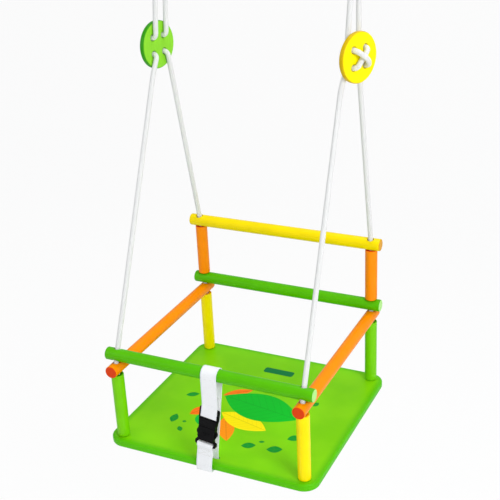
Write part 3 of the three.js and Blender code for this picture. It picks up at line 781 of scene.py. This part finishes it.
ring_r, wire_r, eye_half = 17, 3, 5.6
for side, sign in (("left", -1), ("right", 1)):
    groove = [
        (14 - 4.05 * math.sin(math.pi * i / 20), 4.05 * math.cos(math.pi * i / 20))
        for i in range(21)]
    bm = turned([
        (8.7, -eye_half), (8.1, -4.4), (7.7, -3), (7.48, -1.5), (7.4, 0), (7.48, 1.5),
        (7.7, 3), (8.1, 4.4), (8.7, eye_half), (9.3, eye_half + 0.2), (13.4, eye_half + 0.2),
        (14, eye_half - 0.3), *groove, (14, -eye_half + 0.3), (13.4, -eye_half - 0.2),
        (9.3, -eye_half - 0.2), (8.7, -eye_half)], 64)
    bmesh.ops.transform(bm, verts=bm.verts, matrix=Matrix.Rotation(math.pi / 2, 4, "Y"))
    moved(bm, sign * stack_x, 0, -4.1)
    bmesh.ops.scale(bm, vec=(mm, mm, mm), verts=bm.verts)
    eye = smooth_object(f"thimble_{side}_eye", bm, angle=45)
    eye.data.materials.append(steel_material)
    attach(eye, "seat")
    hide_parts(f"thimble_{side}")

    bm = bmesh.new()
    wire = []
    for i in range(97):
        angle = 2 * math.pi * i / 96 + math.pi / 2
        wire.append(Vector((0, ring_r * math.cos(angle), ring_r * math.sin(angle))))
    weld = [wire_r + 0.25 * math.exp(-(min(i, 96 - i) / 1.6) ** 2) for i in range(97)]
    tube(bm, wire, weld, 24)
    bmesh.ops.remove_doubles(bm, verts=bm.verts, dist=0.3)
    moved(bm, sign * stack_x, 0, ring_r)
    bmesh.ops.scale(bm, vec=(mm, mm, mm), verts=bm.verts)
    ring = smooth_object(f"ring_{side}_welded", bm, angle=60)
    ring.data.materials.append(steel_material)
    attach(ring, "hangers")
    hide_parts(f"ring_{side}")


# ---------------------------------------------------------------- strap
# One length of 25 mm woven polyester: up from its slot behind the front rail, over it and down
# to the buckle's adjuster; from the buckle's lower bar, sewn, down in front of the board's edge
# and under it back to the slot.
web_w, web_t = 25, 1.6
strap_x = 8  # strap's middle on the rail
strap_pitch, strap_slant = math.radians(7), math.radians(-1.2)
buckle_slant, lower_slant = math.radians(8.4), math.radians(3.2)
wrap_r = dowel_r + 0.3 + web_t / 2
rail_middle = Vector((strap_x, front_rail_y, cross_rail_z))
slot_top = Vector((strap_x, slot_y, 8))
to_rail = rail_middle - slot_top
rear_pitch = math.atan2(to_rail.y, to_rail.z) + math.asin(wrap_r / to_rail.length)
wrap_end = math.pi - strap_pitch
stub = 4


def on_wrap(angle):
    return rail_middle + Vector((0, wrap_r * math.cos(angle), wrap_r * math.sin(angle)))


rear_down = Vector((0, -math.sin(rear_pitch), -math.cos(rear_pitch)))
front_down = Vector((0, -math.sin(strap_pitch), -math.cos(strap_pitch)))
rear_top, front_top = on_wrap(-rear_pitch), on_wrap(wrap_end)
# the front run has a frame of its own, down from the rail and forward; the buckle is askew in it
line = (
    Matrix.Translation(front_top) @ Matrix.Rotation(strap_slant, 4, "Y")
    @ Matrix.Rotation(-strap_pitch, 4, "X"))
buckle_back = 2.9
adjust_z = -55
buckle = (
    line @ Matrix.Translation((0, buckle_back, adjust_z))
    @ Matrix.Rotation(buckle_slant, 4, "Y") @ Matrix.Translation((0, 0, -adjust_z)))
frame_top, mid_bar, bar = -49, -59.5, 3
base_top, parting, female_end, line_end = -65.5, -78, -109.5, -141.5
layer_y = 1.8 + 0.3 + web_t / 2


def ribbon(points, start=0.0):
    """Webbing along points, its width along X, edges thick and round. UV is (across, along)."""
    bm = bmesh.new()
    layer = bm.loops.layers.uv.verify()
    half_w, half_t = web_w / 2, web_t / 2
    section = []
    for i in range(17):
        u = -half_w + 0.75 + (web_w - 1.5) * i / 16
        edge = max(0.0, min(1.0, (abs(u) - 10.2) / 0.8))
        section.append((u, half_t * (0.9 + 0.1 * edge)))
    for angle in (60, 30, 0, -30, -60):
        a = math.radians(angle)
        section.append((half_w - 0.75 + 0.75 * math.cos(a), half_t * math.sin(a)))
    section += [(u, -t) for u, t in reversed(section[:17])]
    for angle in (-120, -150, 180, 150, 120):
        a = math.radians(angle)
        section.append((-half_w + 0.75 + 0.75 * math.cos(a), half_t * math.sin(a)))
    n, rings, runs, run = len(points), [], [], start
    for i, p in enumerate(points):
        into = (p - points[max(i - 1, 0)]).normalized()
        out = (points[min(i + 1, n - 1)] - p).normalized()
        along = (into + out).normalized()
        if i:
            run += (p - points[i - 1]).length
        runs.append(run)
        face = Vector((0, -along.z, along.y)).normalized()
        reach = 1 / max(along.dot(out if out.length else into), 0.75)
        rings.append([bm.verts.new(p + Vector((u, 0, 0)) + face * t * reach)
                      for u, t in section])
    m = len(section)
    for i in range(n - 1):
        for k in range(m):
            j = (k + 1) % m
            made = bm.faces.new((rings[i][k], rings[i][j], rings[i + 1][j], rings[i + 1][k]))
            for loop, (u, w) in zip(made.loops, (
                    (section[k][0], runs[i]), (section[j][0], runs[i]),
                    (section[j][0], runs[i + 1]), (section[k][0], runs[i + 1]))):
                loop[layer].uv = (u, w)
    bm.faces.new(list(reversed(rings[0])))
    bm.faces.new(rings[-1])
    return bm


# woven ribs across the strap, warp ends in chevrons along it, a closer weave at the edges; the
# colour follows the weave's height, so its grooves are painted darker as painted shade
web_material, shader, at = material("white_webbing", 0.75, Sheen_Weight=0.2)
uv = at.node("ShaderNodeUVMap")
u, w = (at.node("ShaderNodeSeparateXYZ", out=k, i0=uv) for k in (0, 1))
zigzag = (u / 4.2).math("PINGPONG", 1.0) * 1.3
ribs = ((w + zigzag) * (math.pi / 0.85)).math("SINE") * 0.5 + 0.5
warp = (u * (math.pi / 0.55)).math("SINE").math("ABSOLUTE")
selvedge = u.math("ABSOLUTE").band(10.4, 11.0)
weave = (ribs * 0.65 + warp * 0.35) * (1 - selvedge * 0.6)
fuzz = at.node("ShaderNodeTexNoise", Vector=uv, Scale=3.0, Detail=4.0)
# painted shade: low places in the weave take the darker grey, and the closer-woven edges come out
# darker the same way
feed(shader, "Base Color", (weave * 0.8 + fuzz * 0.2).band(0.05, 0.6).mix(
    rgb(214, 216, 220), rgb(247, 248, 249)))
feed(shader, "Roughness", 0.62 + fuzz * 0.25)
bump(shader, weave * 0.85 + fuzz * 0.15, 0.00028)


def strap_object(name, bm, node):
    made = smooth_object(name, bm, angle=55, flat_from=1)
    made.data.materials.append(web_material)
    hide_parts(node)
    return made


def in_frame(bm, matrix):
    bmesh.ops.transform(bm, verts=bm.verts, matrix=matrix)
    return bm


def skewed(bm, start, end, aside, tilt):
    """Pulls webbing aside along X and tilts it, more and more from one height to another."""
    for vert in bm.verts:
        share = max(0.0, min(1.0, (start - vert.co.z) / (start - end)))
        vert.co.z += vert.co.x * math.tan(tilt) * share
        vert.co.x += aside * share
    return bm


wrap = [rear_top + rear_down * stub]
wrap += [on_wrap(-rear_pitch + (wrap_end + rear_pitch) * i / 40) for i in range(41)]
wrap.append(front_top + front_down * stub)
bm = ribbon(refined(wrap, 1.5))
hang_mesh(bm)
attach(strap_object("strap_wrap_web", bm, "strap_wrap"), "front_rail")

rear_end = rear_top + rear_down * stub
bm = ribbon([p - Vector((strap_x, 0, 0)) for p in refined([slot_top, rear_end], 2.5)])
skewed(bm, slot_top.z, rear_end.z, strap_x - slot_x, 0)
hang_mesh(moved(bm, slot_x))
rear_strap = strap_object("strap_rear_web", bm, "strap_rear")
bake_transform(rear_strap)

front_end = frame_top + 5.75
bm = ribbon(refined([Vector((0, 0, -stub)), Vector((0, 0, front_end))], 1.2))
skewed(bm, -stub, front_end, (front_end - adjust_z) * math.sin(buckle_slant), -buckle_slant)
hang_mesh(in_frame(bm, line))
front_strap = strap_object("strap_front_web", bm, "strap_front")
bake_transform(front_strap)

bar_under = mid_bar - bar - 0.3 - web_t / 2
bm = ribbon(refined(rounded([
    (Vector((0, -layer_y, frame_top + 5.7)), 0), (Vector((0, -layer_y, bar_under)), 1.4),
    (Vector((0, layer_y, bar_under)), 1.4), (Vector((0, layer_y, frame_top + 18)), 0)]), 1.2))
hang_mesh(in_frame(bm, buckle))
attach(strap_object("strap_adjuster_web", bm, "strap_adjuster"), "buckle_half")

loop_y = 2.6 + 0.3 + web_t / 2
sewn = web_t / 2 + 0.15
bm = ribbon(refined(rounded([
    (Vector((0, sewn, -126)), 0), (Vector((0, sewn, -114.5)), 2),
    (Vector((0, loop_y, -110.5)), 2), (Vector((0, loop_y, -105.35)), 1.4),
    (Vector((0, -loop_y, -105.35)), 1.4), (Vector((0, -loop_y, -110.5)), 2),
    (Vector((0, -sewn, -114.5)), 2), (Vector((0, -sewn, line_end)), 0)]), 1.2))
lower_start = -112
aside = (lower_start - line_end) * math.tan(lower_slant)
skewed(bm, lower_start, line_end, aside, buckle_slant + strap_slant)
hang_mesh(in_frame(bm, buckle))
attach(strap_object("strap_lower_web", bm, "strap_lower"), "seat")

lower_end = buckle @ Vector((aside, -sewn, line_end))
under_z = -board_t - 0.3 - web_t / 2
under = refined(rounded([
    (Vector((0, lower_end.y, lower_end.z)), 0),
    (Vector((0, lower_end.y - 0.4, under_z)), 3),
    (Vector((0, slot_y, under_z)), 3), (Vector((0, slot_y, slot_top.z)), 0)]), 1.2)
for p in under:
    share = max(0.0, min(1.0, (p.y - lower_end.y - 2) / (slot_y - lower_end.y - 4)))
    p.x = lower_end.x + (slot_x - lower_end.x) * share
bm = ribbon(under)
hang_mesh(bm)
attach(strap_object("strap_under_web", bm, "strap_under"), "seat")

# box stitching through the sewn loop, with its diagonals
thread_material, shader, at = material("stitch_thread", 0.6)
strand = at.node("ShaderNodeTexNoise", Vector=at, Scale=900.0, Detail=2.0)
feed(shader, "Base Color", strand.mix(rgb(208, 208, 204), rgb(236, 236, 232)))
bump(shader, strand, 0.0001)
bm = bmesh.new()
for y in (-sewn - web_t / 2 - 0.05, sewn + web_t / 2 + 0.05):
    corners = [Vector((x, y, z)) for x, z in ((-9.5, -116), (9.5, -116), (9.5, -124.5),
                                              (-9.5, -124.5))]
    for a, b in ((0, 1), (1, 2), (2, 3), (3, 0), (0, 2), (1, 3)):
        run = corners[b] - corners[a]
        count = max(2, round(run.length / 2.6))
        for i in range(count):
            middle = corners[a] + run * ((i + 0.5) / count)
            spin = Matrix.Rotation(math.atan2(-run.z, run.x), 4, "Y")
            bmesh.ops.create_uvsphere(
                bm, u_segments=8, v_segments=6, radius=1,
                matrix=Matrix.Translation(middle) @ spin @ Matrix.Diagonal(
                    (0.42 * run.length / count, 0.22, 0.3, 1)))
skewed(bm, lower_start, line_end, aside, buckle_slant + strap_slant)
hang_mesh(in_frame(bm, buckle))
stitches = smooth_object("strap_lower_stitches", bm, angle=60)
stitches.data.materials.append(thread_material)
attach(stitches, "seat")


# ---------------------------------------------------------------- buckle
# Black side-release buckle, moulded in two halves: a male half with a ladder-lock for the strap
# and two spring prongs, and a female half with side windows and a bar for the sewn loop.
plastic_material, shader, at = material("black_acetal", 0.36, Specular_IOR_Level=0.1)
grit = at.node("ShaderNodeTexNoise", Vector=at, Scale=1600.0, Detail=3.0)
flow = at.node("ShaderNodeTexNoise", Vector=at, Scale=60.0, Detail=2.0)
feed(shader, "Base Color", flow.band(0.3, 0.7).mix(rgb(3, 3, 4), rgb(9, 9, 10)))
feed(shader, "Roughness", 0.3 + grit * 0.16)
bump(shader, grit, 0.00005)


def moulded(outline, thickness, edge, y=0.0):
    """A plate with its outline in the XZ plane, centred on y, and its edges rounded."""
    bm = bmesh.new()
    front = bm.faces.new([bm.verts.new((x, y - thickness / 2, z)) for x, z in outline])
    made = bmesh.ops.extrude_face_region(bm, geom=[front])
    bmesh.ops.translate(bm, vec=(0, thickness, 0), verts=[
        part for part in made["geom"] if isinstance(part, bmesh.types.BMVert)])
    bmesh.ops.recalc_face_normals(bm, faces=bm.faces)
    bmesh.ops.bevel(bm, geom=bm.edges[:], offset=edge, segments=3, profile=0.5,
                    affect="EDGES", clamp_overlap=True)
    return bm


def block(x0, x1, y0, y1, z0, z1, edge=0.4):
    return moulded(((x0, z0), (x1, z0), (x1, z1), (x0, z1)), y1 - y0, edge, (y0 + y1) / 2)


def both_sides(right):
    return [*right, *((-x, z) for x, z in reversed(right))]


def added(bm, *others):
    for other in others:
        mesh = bpy.data.meshes.new("temporary")
        other.to_mesh(mesh)
        bm.from_mesh(mesh)
        other.free()
        bpy.data.meshes.remove(mesh)
    return bm


def plastic(name, bm, body, node):
    hang_mesh(in_frame(bm, buckle))
    made = smooth_object(name, bm, angle=35, flat_from=6e-6)
    made.data.materials.append(plastic_material)
    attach(made, body)
    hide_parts(node)


slot_half = 13.2
male = moulded(both_sides([
    (14.3, frame_top), (15.4, frame_top - 0.6), (15.8, frame_top - 2), (15.8, base_top),
    (13.2, parting)]), 3.6, 0.6)
carve(male, [
    block(-slot_half, slot_half, -5, 5, mid_bar, frame_top - bar, 0.6),
    block(-slot_half, slot_half, -5, 5, base_top, mid_bar - bar, 0.6)])
collar = moulded(both_sides([(13.9, base_top + 0.2), (14.1, base_top - 1), (13.2, parting)]),
                 9.5, 0.9)
tongue = block(-3, 3, -2, 2, parting - 15, parting + 2, 0.6)
# grip teeth on the adjuster's middle bar
teeth = [block(-12.6 + 2.1 * k, -11.6 + 2.1 * k, -2.15, 2.15, mid_bar - 2.6, mid_bar - 0.4, 0.2)
         for k in range(13)]
plastic("buckle_male_frame", added(male, collar, tongue, *teeth), "buckle_half", "buckle_male")

female = moulded(both_sides([
    (13, parting - 0.3), (13.4, parting - 5), (13.4, -95), (12.2, -97), (11.6, -98.5),
    (11.9, -100), (13, -101.3), (16, -102.5), (16.5, -104.5), (16.4, -107.5), (15.6, -109),
    (14.3, female_end)]), 9.5, 1.1)
carve(female, [
    block(-11, 11, -2.8, 2.8, -95.5, parting + 3, 0.5),
    block(-20, 20, -2.8, 2.8, -95, -83, 0.9),
    block(-13.2, 13.2, -6, 6, -106.5, -101.8, 0.8),
    block(-20, 20, 2.6, 8, -116, -100.5, 0.9),
    block(-20, 20, -8, -2.6, -116, -100.5, 0.9)])
ridges = [block(-6 + k, 6 - k, side * 4.75 - 0.25, side * 4.75 + 0.25,
                -88.5 - 2 * k, -87.7 - 2 * k, 0.15)
          for side in (-1, 1) for k in range(3)]
plastic("buckle_female_socket", added(female, *ridges), "seat", "buckle_female")

for side, sign in (("right", 1), ("left", -1)):
    outline = [
        (6.2, -78.3), (9.2, -78.3), (9.7, -81), (10.4, -83.3), (14.2, -84.2), (15.3, -85),
        (15.8, -86.5), (15.8, -90.5), (14.8, -92.3), (12.4, -94.4), (9.8, -94.6), (8.6, -92),
        (7.6, -88)]
    prong = moulded([(sign * x, z) for x, z in outline], 5, 0.45)
    grips = [block(min(sign * 15.6, sign * 16.1), max(sign * 15.6, sign * 16.1), -2.1, 2.1,
                   -87.4 - 1.2 * k, -86.8 - 1.2 * k, 0.12) for k in range(3)]
    plastic(f"prong_{side}_spring", added(prong, *grips), f"prong_{side}", f"prong_{side}")


# ---------------------------------------------------------------- studio
# One white sheet, floor and backdrop in a single sweep, with soft lamps: a large one in front to
# the right, a weaker one to the left and one above. For looking at the swing only.
world = bpy.data.worlds.new("studio")
bpy.context.scene.world = world
world.use_nodes = True
tree = world.node_tree
background = tree.nodes["Background"]
seen = V(tree, tree.nodes.new("ShaderNodeLightPath").outputs["Is Camera Ray"])
tree.links.new(seen.mix((0.93, 0.96, 1.0, 1), (1, 1, 1, 1)).socket, background.inputs["Color"])
tree.links.new((0.5 + seen * 0.5).socket, background.inputs["Strength"])


def area_lamp(name, place, target, size, power):
    data = bpy.data.lights.new(name, "AREA")
    data.shape, data.size, data.energy = "DISK", size, power
    lamp = bpy.data.objects.new(name, data)
    bpy.context.scene.collection.objects.link(lamp)
    lamp.location = place
    lamp.rotation_mode = "QUATERNION"
    lamp.rotation_quaternion = (Vector(target) - Vector(place)).to_track_quat("-Z", "Y")


seat_middle = (0, -0.05, -0.62)
area_lamp("key", (1.9, -1.3, 0.5), seat_middle, 1.2, 36)
area_lamp("fill", (-1.7, -1.5, 0.2), seat_middle, 1.6, 9)
area_lamp("top", (0.2, 0.3, 1.6), seat_middle, 1.6, 21)

bm = bmesh.new()
sweep = [(-5.0, -1.1), (2.4, -1.1)]
sweep += [(2.4 + 1.2 * math.sin(a), 0.1 - 1.2 * math.cos(a))
          for a in (math.pi / 2 * i / 12 for i in range(1, 13))]
sweep.append((3.6, 4.5))
left = [bm.verts.new((-7, y, z)) for y, z in sweep]
right = [bm.verts.new((7, y, z)) for y, z in sweep]
for i in range(len(sweep) - 1):
    bm.faces.new((left[i], right[i], right[i + 1], left[i + 1]))
backdrop = smooth_object("white_sweep", bm, flat_from=1e6)
sweep_material, shader, at = material("white_paper", 0.9, Specular_IOR_Level=0.1)
shader.inputs["Base Color"].default_value = (0.9, 0.9, 0.9, 1)
tree = sweep_material.node_tree
rays = V(tree, tree.nodes.new("ShaderNodeLightPath").outputs["Is Camera Ray"])
white = tree.nodes.new("ShaderNodeEmission")
white.inputs["Strength"].default_value = 1.0
mixed = tree.nodes.new("ShaderNodeMixShader")
tree.links.new((rays * 0.92).socket, mixed.inputs["Fac"])
tree.links.new(shader.outputs[0], mixed.inputs[1])
tree.links.new(white.outputs[0], mixed.inputs[2])
tree.links.new(mixed.outputs[0], tree.nodes["Material Output"].inputs["Surface"])
backdrop.data.materials.append(sweep_material)

bpy.context.scene.view_settings.view_transform = "Standard"
